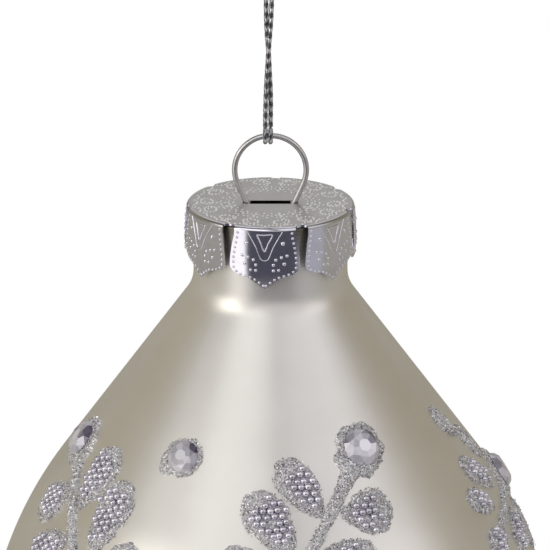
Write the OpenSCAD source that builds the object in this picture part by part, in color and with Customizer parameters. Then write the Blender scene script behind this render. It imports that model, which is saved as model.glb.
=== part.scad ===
// Hanging glass ornament in the shape of a long icicle drop. It hangs from a knotted silver cord
// on a wire ring clip, under a stamped metal cap, with beaded sprigs glued to its shoulder.
// The origin is the underside of the cord's knot, where the loop bears on a hook. +Z is up.

/* [Glass body] */
// Outer radius of the neck
neck_r = 11.05; // [10.9:0.05:11.15]
// Thickness of the glass
wall = 1.0; // [0.7:0.1:1.2]
// Half angle of the upper cone, in degrees
cone_a = 36; // [34:0.5:38]
// Length of the straight part of the upper cone
cone_l = 32; // [30:0.5:34]
// Radius of the rounded belly in section
belly_bend_r = 60; // [55:1:65]
// Half angle of the long tip, in degrees
tip_a = 18; // [16:0.5:20]

/* [Cap] */
// Outer radius of the cap's top
cap_r = 12; // [11.9:0.05:12.3]
// Thickness of the cap's sheet metal
sheet_t = 0.3; // [0.2:0.05:0.35]
// Drop from the cap's top to the tips of its tabs
tab_drop = 9.1; // [8.6:0.1:9.6]
// Width of the notches between the tabs, at their top
notch_w = 1.9; // [1.6:0.05:2]

/* [Ring clip] */
// Thickness of the wire
wire_d = 0.8; // [0.7:0.05:0.85]
// Outer width of the ring
ring_d = 11; // [10.5:0.25:11.5]

/* [Sprigs] */
// Thickness of the glue under the beads and along the stems
glue_t = 0.45; // [0.4:0.05:0.6]
// Diameter of a bead
bead_d = 0.9; // [0.8:0.05:1]
// Diameter of a rhinestone
stone_d = 5.6; // [5:0.1:6]

/* [Hidden] */

// Heights along the axis
ring_top_z = -34;
ring_z = ring_top_z - ring_d / 2;
cap_z = ring_top_z - 10.35;
neck_z = cap_z - 0.4;
slot_z = cap_z - sheet_t / 2;

// Cord: each strand runs from the knot down to the hitch, and the two cross half way
cord_d = 0.7;
cord_sides = 8;
strand_left = [
    [-0.38, 0, 0.2], [-0.42, 0, -1.5], [-0.5, 0, -3.5], [-0.56, 0, -5.5], [-0.6, 0, -7.5],
    [-0.62, 0, -9.5], [-0.62, 0, -11.5], [-0.62, 0, -13.5], [-0.6, 0.05, -15.5],
    [-0.58, 0.17, -17.5], [-0.48, 0.29, -19.5], [-0.32, 0.36, -21.5], [-0.2, 0.38, -23.5],
    [-0.1, 0.37, -25.5], [0, 0.33, -27.5], [0.03, 0.27, -29.5], [0.02, 0.2, -31.5],
    [0.02, 0.14, -33.1]];
strand_right = [
    [0.38, 0, 0.2], [0.4, 0, -1.5], [0.42, 0, -3.5], [0.42, 0, -5.5], [0.4, 0, -7.5],
    [0.36, 0, -9.5], [0.31, 0, -11.5], [0.24, 0, -13.5], [0.15, -0.05, -15.5],
    [0.06, -0.17, -17.5], [-0.08, -0.29, -19.5], [-0.24, -0.36, -21.5], [-0.38, -0.38, -23.5],
    [-0.5, -0.37, -25.5], [-0.6, -0.33, -27.5], [-0.68, -0.27, -29.5], [-0.72, -0.2, -31.5],
    [-0.72, -0.14, -33.1]];
knot_r = 1.15;
tail_l = 8;
hitch_x = [-0.72, 0.02];
hitch_r = wire_d / 2 + 0.16 + cord_d / 2;

// Ring clip: a circle that opens at the bottom into two legs, which cross the cap's slot
// and spread inside the neck
wire_r = wire_d / 2;
ring_r = ring_d / 2 - wire_r;
leg_lean = 24;
leg_l = (ring_z - ring_r * sin(leg_lean) - slot_z) / cos(leg_lean) + 0.6;
leg_bend_r = 2;
leg_splay = 32;
spring_l = 9.5;
wire_overlap = 0.1;
leg_r = wire_r - 0.005;

// Cap: an outline from the middle of the top to the tips of the tabs
rim_r = 0.5;
tab_count = 7;
cap_turn = -3.9;
notch_top_r = 11.2;
notch_back_r = 11.4;
rim_steps = 4;
skirt_belly = 0.3;
skirt_tuck = 0.1;
skirt_steps = 8;
slot_l = 7.9;
slot_w = 1.5;

// Glass outline, in stretches: [slope at the start, slope at the end, bend radius, length].
// A slope is the angle from the vertical, above 0 where the glass widens downwards. A stretch
// with a bend radius is an arc, and its length follows from its slopes.
neck_l = 9.55;
fillet_r = 6;
taper_a = 42;
taper_bend_r = 60;
tip_r = 2;
shoulder = [
    [0, 0, 0, neck_l],
    [0, cone_a, fillet_r, 0],
    [cone_a, cone_a, 0, cone_l],
    [cone_a, -taper_a, belly_bend_r, 0],
    [-taper_a, -tip_a, taper_bend_r, 0]];
tip_l = (outline_start(shoulder, len(shoulder))[0] - tip_r * cos(tip_a)) / sin(tip_a);
glass = concat(shoulder, [[-tip_a, -tip_a, 0, tip_l], [-tip_a, -90, tip_r, 0]]);
arc_steps = [1, 6, 1, 26, 8, 1, 6];
starts = [for (i = [0:len(glass)]) outline_start(glass, i)];
reach = [for (i = [0:len(glass)]) reach_to(i)];

// Sprig patterns, in a flat frame on the glass: the stem runs along the first axis from the
// stone. A leaf is [distance along the stem, offset, angle, length, width] at its middle.
leaves_right = [
    [9.8, 5.0, 103, 10.0, 5.2],
    [16.3, 6.4, 100, 10.8, 6.0],
    [24.0, 6.0, 85, 10.0, 5.6],
    [8.0, -4.9, -131, 8.0, 6.2],
    [15.2, -5.8, -115, 8.2, 5.6],
    [22.6, -5.6, -100, 8.4, 5.6],
    [32.5, 0.2, -3, 9.0, 5.4]];
leaves_left = [
    [9.3, 4.9, 120, 10.3, 5.8],
    [16.4, 6.8, 120, 11.6, 6.0],
    [25.2, 6.9, 110, 10.0, 5.6],
    [8.4, -4.9, -99, 8.4, 6.0],
    [16.2, -6.2, -105, 9.8, 5.6],
    [23.6, -5.4, -95, 8.2, 5.4],
    [32.0, 0, 0, 9.0, 5.4]];
leaves_side = [
    [3.4, 8.4, 74, 7.5, 3.4],
    [6.7, 15.0, 72, 6.5, 3.2],
    [9.8, 6.6, 57, 8.6, 4.0],
    [14.8, 5.0, 40, 7.0, 3.8],
    [17.6, -0.4, -8, 6.2, 4.4],
    [10.5, -4.6, -50, 7.6, 4.2],
    [4.6, -7.2, -75, 8.0, 4.2]];
leaf_steps = 10;
stem_start = 3.4;
stem_w = 2;
stem_h = 0.34;
stem_steps = 16;
bead_pitch = bead_d + 0.03;
bead_inset = 0.75;
stone_glue_r = 3.8;
lone_stone_d = 4.8;
lone_glue_r = 3.2;
seat_h = 0.15;
facets = 8;

// Sprigs: [azimuth of the stone, distance of the stone below the neck's top along the glass,
// direction of the stem, side of the first leaf, leaves, length of the stem]. Azimuth 0 faces
// -Y and grows towards +X. Direction 0 runs towards +X along the glass, and 90 straight down.
sprig_front_right = [31.8, 33.35, 135, -1, leaves_right, 28.5];
sprig_front_left = [-79, 39.05, 35, 1, leaves_left, 28];
sprig_side = [96, 49.35, 175, -1, leaves_side, 14.8];
sprig_back_right = [158, 35.35, 133, -1, leaves_right, 28.5];
sprig_back_left = [200, 37.35, 46, 1, leaves_left, 28];
lone_places = [[-29.4, 34.55], [131, 28.35], [181, 34.35]];

// A point in the outline of list s, at stretch i's start: [radius, height]
function outline_start(s, i) =
    i == 0 ? [neck_r, neck_z] : outline_start(s, i - 1) + along(s[i - 1], s[i - 1][1], stretch_l(s[i - 1]));
function stretch_l(s) = s[2] > 0 ? abs(s[1] - s[0]) * PI / 180 * s[2] : s[3];
function along(s, a, l) =
    s[2] > 0
    ? sign(s[1] - s[0]) * s[2] * [cos(s[0]) - cos(a), sin(s[0]) - sin(a)]
    : l * [sin(s[0]), -cos(s[0])];
function reach_to(i) = i == 0 ? 0 : reach_to(i - 1) + stretch_l(glass[i - 1]);
// The stretch that holds the place at distance d along the outline
function stretch_at(d) = max([for (i = [0:len(glass) - 1]) reach[i] <= d ? i : 0]);
function slope_at(d) =
    let (i = stretch_at(d), f = (d - reach[i]) / stretch_l(glass[i]))
    glass[i][0] + (glass[i][1] - glass[i][0]) * f;
function outline_at(d) =
    let (i = stretch_at(d)) starts[i] + along(glass[i], slope_at(d), d - reach[i]);
// The outline at distance d, raised by h from the glass's outer face
function raised(d, h) = outline_at(d) + h * [cos(slope_at(d)), sin(slope_at(d))];
// Distances along the outline at which its section has a point
stations = [for (i = [0:len(glass) - 1], k = [0:arc_steps[i] - 1])
    reach[i] + stretch_l(glass[i]) * k / arc_steps[i]];

// A sprig's flat frame [along, across], turned to [right, down] on the glass
function turned(sprig, p) =
    [p[0] * cos(sprig[2]) + sprig[3] * p[1] * sin(sprig[2]),
     p[0] * sin(sprig[2]) - sprig[3] * p[1] * cos(sprig[2])];
// The azimuth and outline distance of a place [along, across] in a sprig's flat frame. The
// cone unrolls into a flat sector, in which the sprig keeps its shape.
function place(sprig, p) =
    let (q = turned(sprig, p),
         sector_r = outline_at(sprig[1])[0] / sin(cone_a),
         u = q[0],
         v = sector_r + q[1])
    [sprig[0] + atan2(u, v) / sin(cone_a), sprig[1] + norm([u, v]) - sector_r];
// The same for a place [along, across] close to a leaf's middle, in the leaf's own frame
function place_on_leaf(sprig, leaf, p) =
    let (c = cos(leaf[2]), s = sin(leaf[2]),
         q = turned(sprig, [p[0] * c - p[1] * s, p[0] * s + p[1] * c]),
         mid = place(sprig, leaf),
         d = mid[1] + q[1])
    [mid[0] + q[0] / outline_at(d)[0] * 180 / PI, d];
// The point in space at a place, raised by h
function on_glass(at, h) =
    let (q = raised(at[1], h)) [q[0] * sin(at[0]), -q[0] * cos(at[0]), q[1]];
// Half of a leaf's width at fraction f of its half length, which is -1 at the stem
function leaf_half_w(leaf, f) =
    leaf[4] / 2 * (1 + 0.35 * f - 0.1 * f * f) * pow(max(0, 1 - pow(abs(f), 2.5)), 0.7);

// Rings of a tube swept along route points, and the mesh that joins them
function unit(v) = v / norm(v);
function heading(route, i) =
    unit(route[min(i + 1, len(route) - 1)] - route[max(i - 1, 0)]);
function tube_ring(route, i, r, sides) =
    let (t = heading(route, i), u = unit(cross([0, 1, 0], t)), v = cross(t, u))
    [for (k = [0:sides - 1]) route[i] + r * (cos(360 * k / sides) * u + sin(360 * k / sides) * v)];
function tube_sides(rings, n) =
    [for (i = [0:rings - 2], k = [0:n - 1], half = [0, 1])
        let (k2 = (k + 1) % n, a = i * n, b = a + n)
        half == 0 ? [a + k, b + k, a + k2] : [b + k, b + k2, a + k2]];
function tube_ends(rings, n) =
    [[for (k = [0:n - 1]) k], [for (k = [n - 1:-1:0]) (rings - 1) * n + k]];

module tube(points, rings, sides) {
    polyhedron(points = points, faces = concat(tube_sides(rings, sides), tube_ends(rings, sides)));
}

// Puts its children on the glass at a place: x to the right, y up the glass, z outwards
module at_place(at, h) {
    translate(on_glass(at, h))
        rotate([0, 0, at[0]])
            rotate([90 - slope_at(at[1]), 0, 0])
                children();
}

module cord_strand(route) {
    rings = [for (i = [0:len(route) - 1]) each tube_ring(route, i, cord_d / 2, cord_sides)];
    color("silver") tube(rings, len(route), cord_sides);
}

module cord_knot() {
    color("silver") {
        translate([0, 0, knot_r + 0.15])
            rotate_extrude($fn = 48)
                intersection() {
                    translate([0.1, 0]) circle(r = knot_r, $fn = 40);
                    translate([0, -knot_r]) square([2 * knot_r, 2 * knot_r]);
                }
        for (side = [-1, 1])
            translate([side * 0.4, 0, knot_r])
                rotate([0, side * 12, 0])
                    cylinder(h = knot_r + tail_l, r = cord_d / 2, $fn = 24);
    }
}

module cord_hitch() {
    color("silver")
        for (x = hitch_x)
            translate([x, 0, ring_top_z - wire_r])
                rotate([0, 90, 0])
                    rotate_extrude($fn = 48)
                        translate([hitch_r, 0]) circle(r = cord_d / 2 - 0.005, $fn = 24);
}

module wire_arc(bend_r, from_a, to_a) {
    rotate([90, 0, 0])
        rotate([0, 0, from_a])
            rotate_extrude(angle = to_a - from_a, $fn = 96)
                translate([bend_r, 0]) circle(r = wire_r, $fn = 32);
}

// One side of the clip: a leg from the ring through the slot, a bend, and a spring arm
module clip_leg() {
    foot = [ring_r * cos(leg_lean) - leg_l * sin(leg_lean),
            ring_z - ring_r * sin(leg_lean) - leg_l * cos(leg_lean)];
    hub = foot + leg_bend_r * [cos(leg_lean), -sin(leg_lean)];
    knee = hub + leg_bend_r * [-cos(leg_splay), -sin(leg_splay)];
    translate([ring_r * cos(leg_lean), 0, ring_z - ring_r * sin(leg_lean)])
        rotate([0, 180 + leg_lean, 0])
            translate([0, 0, -wire_overlap])
                cylinder(h = leg_l + 2 * wire_overlap, r = leg_r, $fn = 32);
    translate([hub[0], 0, hub[1]])
        wire_arc(leg_bend_r, 180 - leg_lean, 180 + leg_splay);
    translate([knee[0], 0, knee[1]])
        rotate([0, 180 - leg_splay, 0])
            translate([0, 0, -wire_overlap])
                cylinder(h = spring_l + wire_overlap, r = leg_r, $fn = 32);
}

module ring_clip() {
    color("lightgray") {
        translate([0, 0, ring_z])
            wire_arc(ring_r, -leg_lean, 180 + leg_lean);
        clip_leg();
        mirror([1, 0, 0]) clip_leg();
    }
}

// The cap's half section, filled down to below the tabs, with its outer face moved in by an inset
function cap_edge(inset) = concat(
    [[0, -inset]],
    [for (i = [0:rim_steps])
        let (a = 90 * i / rim_steps)
        [cap_r - rim_r + (rim_r - inset) * sin(a), -rim_r + (rim_r - inset) * cos(a)]],
    [for (i = [1:skirt_steps])
        let (f = i / skirt_steps)
        [cap_r - inset + skirt_belly * sin(180 * f) - skirt_tuck * f * f,
         -rim_r - f * (tab_drop + 0.5 - rim_r)]]);

module cap_shell() {
    inner = cap_edge(sheet_t);
    rotate_extrude($fn = 120)
        polygon(concat(cap_edge(0), [for (i = [len(inner) - 1:-1:0]) inner[i]]));
}

// A notch between two tabs, seen from outside, below its round end in the cap's top: its sides
// close in a little, spread under the tabs' rounded corners and run down to their points
notch_side = [
    [0, -1.2], [-0.25, -2.5], [-0.5, -4.3], [-0.57, -5.5], [-0.5, -6], [-0.15, -6.5], [0.55, -6.9],
    [2.15, -7.3], [3.05, -8], [3.95, -8.8], [4.55, -tab_drop], [4.55, -tab_drop - 2]];
module notch_outline() {
    half_w = notch_w / 2;
    n = len(notch_side) - 1;
    polygon(concat(
        [[half_w, -sheet_t]],
        [for (p = notch_side) [half_w + p[0], p[1]]],
        [for (i = [n:-1:0]) [-half_w - notch_side[i][0], notch_side[i][1]]],
        [[-half_w, -sheet_t]]));
}

module cap() {
    color("gainsboro")
        translate([0, 0, cap_z])
            difference() {
                cap_shell();
                for (i = [0:tab_count - 1])
                    rotate([0, 0, 360 * (i + 0.5) / tab_count + cap_turn])
                        translate([0, -notch_back_r, 0]) {
                            rotate([90, 0, 0])
                                linear_extrude(height = 4) notch_outline();
                            translate([0, notch_back_r - notch_top_r - notch_w / 2, -2])
                                cylinder(h = 3, r = notch_w / 2, $fn = 32);
                        }
                for (x = [-1, 1] * (slot_l - slot_w) / 2)
                    translate([x, 0, -1]) cylinder(h = 2, r = slot_w / 2, $fn = 32);
                translate([-(slot_l - slot_w) / 2, -slot_w / 2, -1])
                    cube([slot_l - slot_w, slot_w, 2]);
            }
}

module glass_body() {
    tip_z = starts[len(glass)][1];
    n = len(stations) - 1;
    color("antiquewhite")
        rotate_extrude($fn = 120)
            polygon(concat(
                [for (d = stations) raised(d, 0)],
                [[0, tip_z], [0, tip_z + wall]],
                [for (i = [n:-1:0]) raised(stations[i], -wall)]));
}

// A layer that lies on the glass between two distances along its outline
module layer(from_d, to_d, t) {
    cuts = concat([from_d], [for (d = stations) if (d > from_d && d < to_d) d], [to_d]);
    n = len(cuts) - 1;
    rotate_extrude($fn = 120)
        polygon(concat(
            [for (d = cuts) raised(d, 0)],
            [for (i = [n:-1:0]) raised(cuts[i], t)]));
}

module leaf_outline(leaf) {
    f = [for (i = [-leaf_steps:leaf_steps]) i / leaf_steps];
    n = len(f) - 1;
    polygon(concat(
        [for (k = [0:n]) [f[k] * leaf[3] / 2, leaf_half_w(leaf, f[k])]],
        [for (k = [n - 1:-1:1]) [f[k] * leaf[3] / 2, -leaf_half_w(leaf, f[k])]]));
}

// The turn, on the glass, of something that points along angle a in a sprig's flat frame
function turn_of(sprig, a) = -sprig[2] + sprig[3] * a;

module leaf_glue(sprig) {
    color("silver")
        intersection() {
            layer(sprig[1] - 19, sprig[1] + 30, glue_t);
            for (leaf = sprig[4])
                at_place(place(sprig, leaf), -2)
                    rotate([0, 0, turn_of(sprig, leaf[2])])
                        linear_extrude(height = 5) leaf_outline(leaf);
        }
}

// Beads in staggered rows inside each leaf, on the part that the glue's rim leaves free
module beads(sprig) {
    row = bead_pitch * sin(60);
    color("lavender")
        for (leaf = sprig[4]) {
            rows = floor(leaf[4] / 2 / row);
            span = ceil(leaf[3] / 2 / bead_pitch);
            for (j = [-rows:rows], i = [-span:span]) {
                p = [(i + (j % 2 == 0 ? 0 : 0.5)) * bead_pitch, j * row];
                f = p[0] / (leaf[3] / 2 - bead_inset);
                if (abs(f) < 1 && abs(p[1]) < leaf_half_w(leaf, f) - bead_inset)
                    translate(on_glass(place_on_leaf(sprig, leaf, p), bead_d / 2 + 0.15))
                        sphere(d = bead_d, $fn = 24);
            }
        }
}

// A raised line of glue: a flattened tube that follows the glass
module stem(sprig) {
    route = [for (i = [0:stem_steps])
        let (x = stem_start + (sprig[5] - stem_start) * i / stem_steps)
        place(sprig, [x, -0.35 * sin(180 * x / sprig[5])])];
    mids = [for (p = route) on_glass(p, stem_h - 0.04)];
    rings = [for (i = [0:stem_steps])
        let (t = heading(mids, i),
             up = unit(on_glass(route[i], 1) - mids[i]),
             side = unit(cross(up, t)),
             w = stem_w / 2 * (1 - 0.3 * i / stem_steps))
        each [for (k = [0:7])
            mids[i] + w * cos(45 * k) * side + stem_h * sin(45 * k) * up]];
    color("silver") tube(rings, stem_steps + 1, 8);
}

// A faceted stone: a flat back, a narrow girdle, a sloping crown and an eight-sided table
module stone(d) {
    skin = 0.01;
    hull() {
        cylinder(h = 0.07 * d, d1 = 0.95 * d, d2 = d, $fn = 2 * facets);
        rotate([0, 0, 180 / facets])
            translate([0, 0, 0.16 * d]) cylinder(h = skin, d = 0.86 * d, $fn = facets);
        translate([0, 0, 0.24 * d]) cylinder(h = skin, d = 0.66 * d, $fn = facets);
    }
}

module sprig_stone(sprig) {
    color("lavender")
        at_place([sprig[0], sprig[1]], seat_h) stone(stone_d);
}

module stone_glue(places, r) {
    color("silver")
        for (at = places)
            intersection() {
                layer(at[1] - r - 1, at[1] + r + 1, glue_t);
                at_place(at, -2) cylinder(h = 5, r = r, $fn = 48);
            }
}

module lone_stones() {
    color("lavender")
        for (at = lone_places)
            at_place(at, seat_h) stone(lone_stone_d);
}

cord_strand(strand_left);  // cord_strand_left
cord_strand(strand_right);  // cord_strand_right
cord_knot();
cord_hitch();
ring_clip();
cap();
glass_body();
stem(sprig_front_right);  // front_right_stem
leaf_glue(sprig_front_right);  // front_right_leaf_glue
beads(sprig_front_right);  // front_right_beads
sprig_stone(sprig_front_right);  // front_right_stone
stone_glue([sprig_front_right], stone_glue_r);  // front_right_stone_glue
stem(sprig_front_left);  // front_left_stem
leaf_glue(sprig_front_left);  // front_left_leaf_glue
beads(sprig_front_left);  // front_left_beads
sprig_stone(sprig_front_left);  // front_left_stone
stone_glue([sprig_front_left], stone_glue_r);  // front_left_stone_glue
stem(sprig_side);  // side_stem
leaf_glue(sprig_side);  // side_leaf_glue
beads(sprig_side);  // side_beads
sprig_stone(sprig_side);  // side_stone
stone_glue([sprig_side], stone_glue_r);  // side_stone_glue
stem(sprig_back_right);  // back_right_stem
leaf_glue(sprig_back_right);  // back_right_leaf_glue
beads(sprig_back_right);  // back_right_beads
sprig_stone(sprig_back_right);  // back_right_stone
stone_glue([sprig_back_right], stone_glue_r);  // back_right_stone_glue
stem(sprig_back_left);  // back_left_stem
leaf_glue(sprig_back_left);  // back_left_leaf_glue
beads(sprig_back_left);  // back_left_beads
sprig_stone(sprig_back_left);  // back_left_stone
stone_glue([sprig_back_left], stone_glue_r);  // back_left_stone_glue
lone_stones();
stone_glue(lone_places, lone_glue_r);  // lone_stone_glue
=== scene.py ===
"""Looks for a hanging glass icicle ornament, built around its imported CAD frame.

Lengths inside this script are in millimetres, as in the CAD source, and become metres where a mesh
is made. Azimuth 0 faces -Y and grows towards +X.
"""
import math
import random

import bpy
import numpy as np
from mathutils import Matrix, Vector, noise


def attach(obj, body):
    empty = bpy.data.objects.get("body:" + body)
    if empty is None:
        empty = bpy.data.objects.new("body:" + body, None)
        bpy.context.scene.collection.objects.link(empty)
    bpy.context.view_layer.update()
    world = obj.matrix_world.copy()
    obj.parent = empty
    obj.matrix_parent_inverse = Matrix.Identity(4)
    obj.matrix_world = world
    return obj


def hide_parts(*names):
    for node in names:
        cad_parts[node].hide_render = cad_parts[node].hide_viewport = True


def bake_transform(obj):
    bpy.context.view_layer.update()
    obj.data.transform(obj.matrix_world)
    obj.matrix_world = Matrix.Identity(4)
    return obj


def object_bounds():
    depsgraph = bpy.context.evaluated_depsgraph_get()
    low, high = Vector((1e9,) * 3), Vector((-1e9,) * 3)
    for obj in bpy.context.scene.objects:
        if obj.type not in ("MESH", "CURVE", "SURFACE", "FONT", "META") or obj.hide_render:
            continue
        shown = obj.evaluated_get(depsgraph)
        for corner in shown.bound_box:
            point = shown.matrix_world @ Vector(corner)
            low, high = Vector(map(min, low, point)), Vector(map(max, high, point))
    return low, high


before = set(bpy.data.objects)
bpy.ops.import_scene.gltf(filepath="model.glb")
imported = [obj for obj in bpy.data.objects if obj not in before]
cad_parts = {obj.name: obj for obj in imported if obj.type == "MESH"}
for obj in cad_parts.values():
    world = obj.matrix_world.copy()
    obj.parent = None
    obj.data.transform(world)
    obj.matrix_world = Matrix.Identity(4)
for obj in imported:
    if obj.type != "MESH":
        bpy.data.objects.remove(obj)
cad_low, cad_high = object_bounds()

MM = 0.001

# ---- sizes shared with the CAD source
RING_TOP_Z = -34.0
RING_D = 11.0
WIRE_R = 0.4
CAP_Z = RING_TOP_Z - 10.35
CAP_R = 12.0
SHEET_T = 0.3
RIM_R = 0.5
TAB_DROP = 9.1
TAB_COUNT = 7
CAP_TURN = -3.9
NOTCH_W = 1.9
NOTCH_TOP_R = 11.2
SKIRT_BELLY = 0.3
SKIRT_TUCK = 0.1
SLOT_L, SLOT_W = 7.9, 1.5
SLOT_Z = CAP_Z - SHEET_T / 2
LEG_LEAN = math.radians(24)
LEG_SPLAY = math.radians(32)
LEG_BEND_R = 2.0
SPRING_L = 9.5
NECK_R = 11.05
NECK_Z = CAP_Z - 0.4
WALL = 1.0
CONE_A = 36.0
TIP_A = 18.0
TIP_R = 2.0
CORD_D = 0.7
HITCH_X = (-0.72, 0.02)
HITCH_R = WIRE_R + 0.16 + CORD_D / 2
GLUE_T = 0.45
BEAD_D = 0.9
BEAD_INSET = 0.75
SEAT_H = 0.15
STONE_D = 5.6
LONE_STONE_D = 4.8
STEM_START = 3.4

# ---- sizes of the looks alone
CORD_TWIST_L = 2.94
GLITTER_GRID = 0.17
BEAD_PITCH = BEAD_D + 0.16
STEM_CREST = 0.56
BED_CREST = 0.5
STONE_BED_R = 3.7
LONE_BED_R = 2.8
FLOOR_R = 280
FLOOR_GAP = 34

# Tones of faces, which the looks of the cap and the glass read
# On the cap, TONE_TOP is painted shade on the flat top, TONE_RIM dims every rim but the front one, leaving
# a painted highlight there, and TONE_DOT gives painted glints
TONE_TOP = 0.0
TONE_RIM = 0.3
TONE_PLAIN = 0.5
TONE_DOT = 0.9

NOTCH_SIDE = [
    (0, 1.2), (-0.25, 2.5), (-0.5, 4.3), (-0.57, 5.5), (-0.5, 6), (-0.15, 6.5), (0.55, 6.9),
    (2.15, 7.3), (3.05, 8), (3.95, 8.8), (4.55, TAB_DROP), (4.55, TAB_DROP + 2)]

STRAND_LEFT = [
    (-0.38, 0, 0.2), (-0.42, 0, -1.5), (-0.5, 0, -3.5), (-0.56, 0, -5.5), (-0.6, 0, -7.5),
    (-0.62, 0, -9.5), (-0.62, 0, -11.5), (-0.62, 0, -13.5), (-0.6, 0.05, -15.5),
    (-0.58, 0.17, -17.5), (-0.48, 0.29, -19.5), (-0.32, 0.36, -21.5), (-0.2, 0.38, -23.5),
    (-0.1, 0.37, -25.5), (0, 0.33, -27.5), (0.03, 0.27, -29.5), (0.02, 0.2, -31.5),
    (0.02, 0.14, -33.1)]
STRAND_RIGHT = [
    (0.38, 0, 0.2), (0.4, 0, -1.5), (0.42, 0, -3.5), (0.42, 0, -5.5), (0.4, 0, -7.5),
    (0.36, 0, -9.5), (0.31, 0, -11.5), (0.24, 0, -13.5), (0.15, -0.05, -15.5),
    (0.06, -0.17, -17.5), (-0.08, -0.29, -19.5), (-0.24, -0.36, -21.5), (-0.38, -0.38, -23.5),
    (-0.5, -0.37, -25.5), (-0.6, -0.33, -27.5), (-0.68, -0.27, -29.5), (-0.72, -0.2, -31.5),
    (-0.72, -0.14, -33.1)]

# A leaf is (distance along the stem, offset, angle, length, width) at its middle
LEAVES_RIGHT = [
    (9.8, 5, 103, 10, 5.2), (16.3, 6.4, 100, 10.8, 6), (24, 6, 85, 10, 5.6),
    (8, -4.9, -131, 8, 6.2), (15.2, -5.8, -115, 8.2, 5.6), (22.6, -5.6, -100, 8.4, 5.6),
    (32.5, 0.2, -3, 9, 5.4)]
LEAVES_LEFT = [
    (9.3, 4.9, 120, 10.3, 5.8), (16.4, 6.8, 120, 11.6, 6), (25.2, 6.9, 110, 10, 5.6),
    (8.4, -4.9, -99, 8.4, 6), (16.2, -6.2, -105, 9.8, 5.6), (23.6, -5.4, -95, 8.2, 5.4),
    (32, 0, 0, 9, 5.4)]
LEAVES_SIDE = [
    (3.4, 8.4, 74, 7.5, 3.4), (6.7, 15, 72, 6.5, 3.2), (9.8, 6.6, 57, 8.6, 4),
    (14.8, 5, 40, 7, 3.8), (17.6, -0.4, -8, 6.2, 4.4), (10.5, -4.6, -50, 7.6, 4.2),
    (4.6, -7.2, -75, 8, 4.2)]
# Leaves of plain glitter, without beads
BARE_LEAVES = (LEAVES_SIDE[0], LEAVES_SIDE[1], LEAVES_SIDE[6])
# A sprig is (azimuth, distance down the glass, direction, side, leaves, stem length)
SPRIGS = {
    "front_right": (31.8, 33.35, 135, -1, LEAVES_RIGHT, 28.5),
    "front_left": (-79, 39.05, 35, 1, LEAVES_LEFT, 28),
    "side": (96, 49.35, 175, -1, LEAVES_SIDE, 14.8),
    "back_right": (158, 35.35, 133, -1, LEAVES_RIGHT, 28.5),
    "back_left": (200, 37.35, 46, 1, LEAVES_LEFT, 28)}
LONE_PLACES = [(-29.4, 34.55), (131, 28.35), (181, 34.35)]


# ---- camera
def stand(name, data, spot, facing):
    """Puts a camera or a light in place, looking along facing."""
    obj = bpy.data.objects.new(name, data)
    obj.location = spot
    obj.rotation_mode = "QUATERNION"
    obj.rotation_quaternion = facing.to_track_quat("-Z", "Y")
    bpy.context.scene.collection.objects.link(obj)
    return obj


def add_camera():
    """The photographer's view: level with the hook, looking a little down on the cap."""
    elevation = math.radians(19.2)
    up = Vector((0, math.sin(elevation), math.cos(elevation)))
    back = Vector((0, -math.cos(elevation), math.sin(elevation)))
    distance = 600
    aim = Vector((0.643, 0, -44.7)) - 10.07 * up
    data = bpy.data.cameras.new("camera")
    data.lens = 275
    data.sensor_width = 36
    data.clip_start = 0.01
    camera = stand("camera", data, (aim + distance * back) * MM, -back)
    bpy.context.scene.camera = camera


# ---- mesh helpers
class Shape:
    """Points in millimetres, with faces and one tone for each face."""

    def __init__(self):
        self.points = []
        self.faces = []
        self.tones = []

    def add(self, points, faces, tones=None):
        base = len(self.points)
        self.points += [tuple(p) for p in points]
        self.faces += [tuple(i + base for i in f) for f in faces]
        self.tones += list(tones) if tones is not None else [TONE_PLAIN] * len(faces)

    def make(self, name, look, smooth=False, sharp_angle=None):
        mesh = bpy.data.meshes.new(name)
        mesh.from_pydata([(x * MM, y * MM, z * MM) for x, y, z in self.points], [], self.faces)
        mesh.materials.append(look)
        mesh.polygons.foreach_set("use_smooth", [smooth] * len(mesh.polygons))
        tone = mesh.attributes.new("tone", "FLOAT", "FACE")
        tone.data.foreach_set("value", np.array(self.tones, np.float32))
        mesh.update()
        if sharp_angle:
            mesh.set_sharp_from_angle(angle=math.radians(sharp_angle))
        obj = bpy.data.objects.new(name, mesh)
        bpy.context.scene.collection.objects.link(obj)
        return obj


def hand_over(piece, node, body="ornament"):
    """Ties a piece to the CAD node it stands for and the body it rides."""
    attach(piece, body)
    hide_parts(node)


def ring_faces(rings, sides):
    """Faces of a closed surface made of a first point, rings of points and a last point."""
    faces = []
    last = 1 + (rings - 1) * sides
    for i in range(sides):
        i2 = (i + 1) % sides
        faces += [(0, 1 + i, 1 + i2), (last + i, last + sides, last + i2)]
        for j in range(rings - 1):
            a, b = 1 + j * sides, 1 + (j + 1) * sides
            faces.append((a + i, b + i, b + i2, a + i2))
    return faces


def even(radius):
    return lambda run, angles: np.full(len(angles), radius)


def run_along(path):
    """The distance along a path at each of its points."""
    return np.concatenate([[0], np.cumsum(np.linalg.norm(np.diff(path, axis=0), axis=1))])


def path_length(path):
    return float(run_along(path)[-1])


def smooth_path(points, spacing):
    """Points at even spacing on a Catmull-Rom curve through the given points."""
    p = np.array(points, float)
    p = np.vstack([2 * p[0] - p[1], p, 2 * p[-1] - p[-2]])
    fine = []
    for i in range(1, len(p) - 2):
        for t in np.linspace(0, 1, 16, endpoint=False):
            fine.append(0.5 * (2 * p[i] + (p[i + 1] - p[i - 1]) * t
                               + (2 * p[i - 1] - 5 * p[i] + 4 * p[i + 1] - p[i + 2]) * t ** 2
                               + (3 * p[i] - p[i - 1] - 3 * p[i + 1] + p[i + 2]) * t ** 3))
    fine = np.array(fine + [p[-2]])
    run = run_along(fine)
    at = np.linspace(0, run[-1], max(2, round(run[-1] / spacing)) + 1)
    return np.stack([np.interp(at, run, fine[:, k]) for k in range(3)], axis=1)


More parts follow.
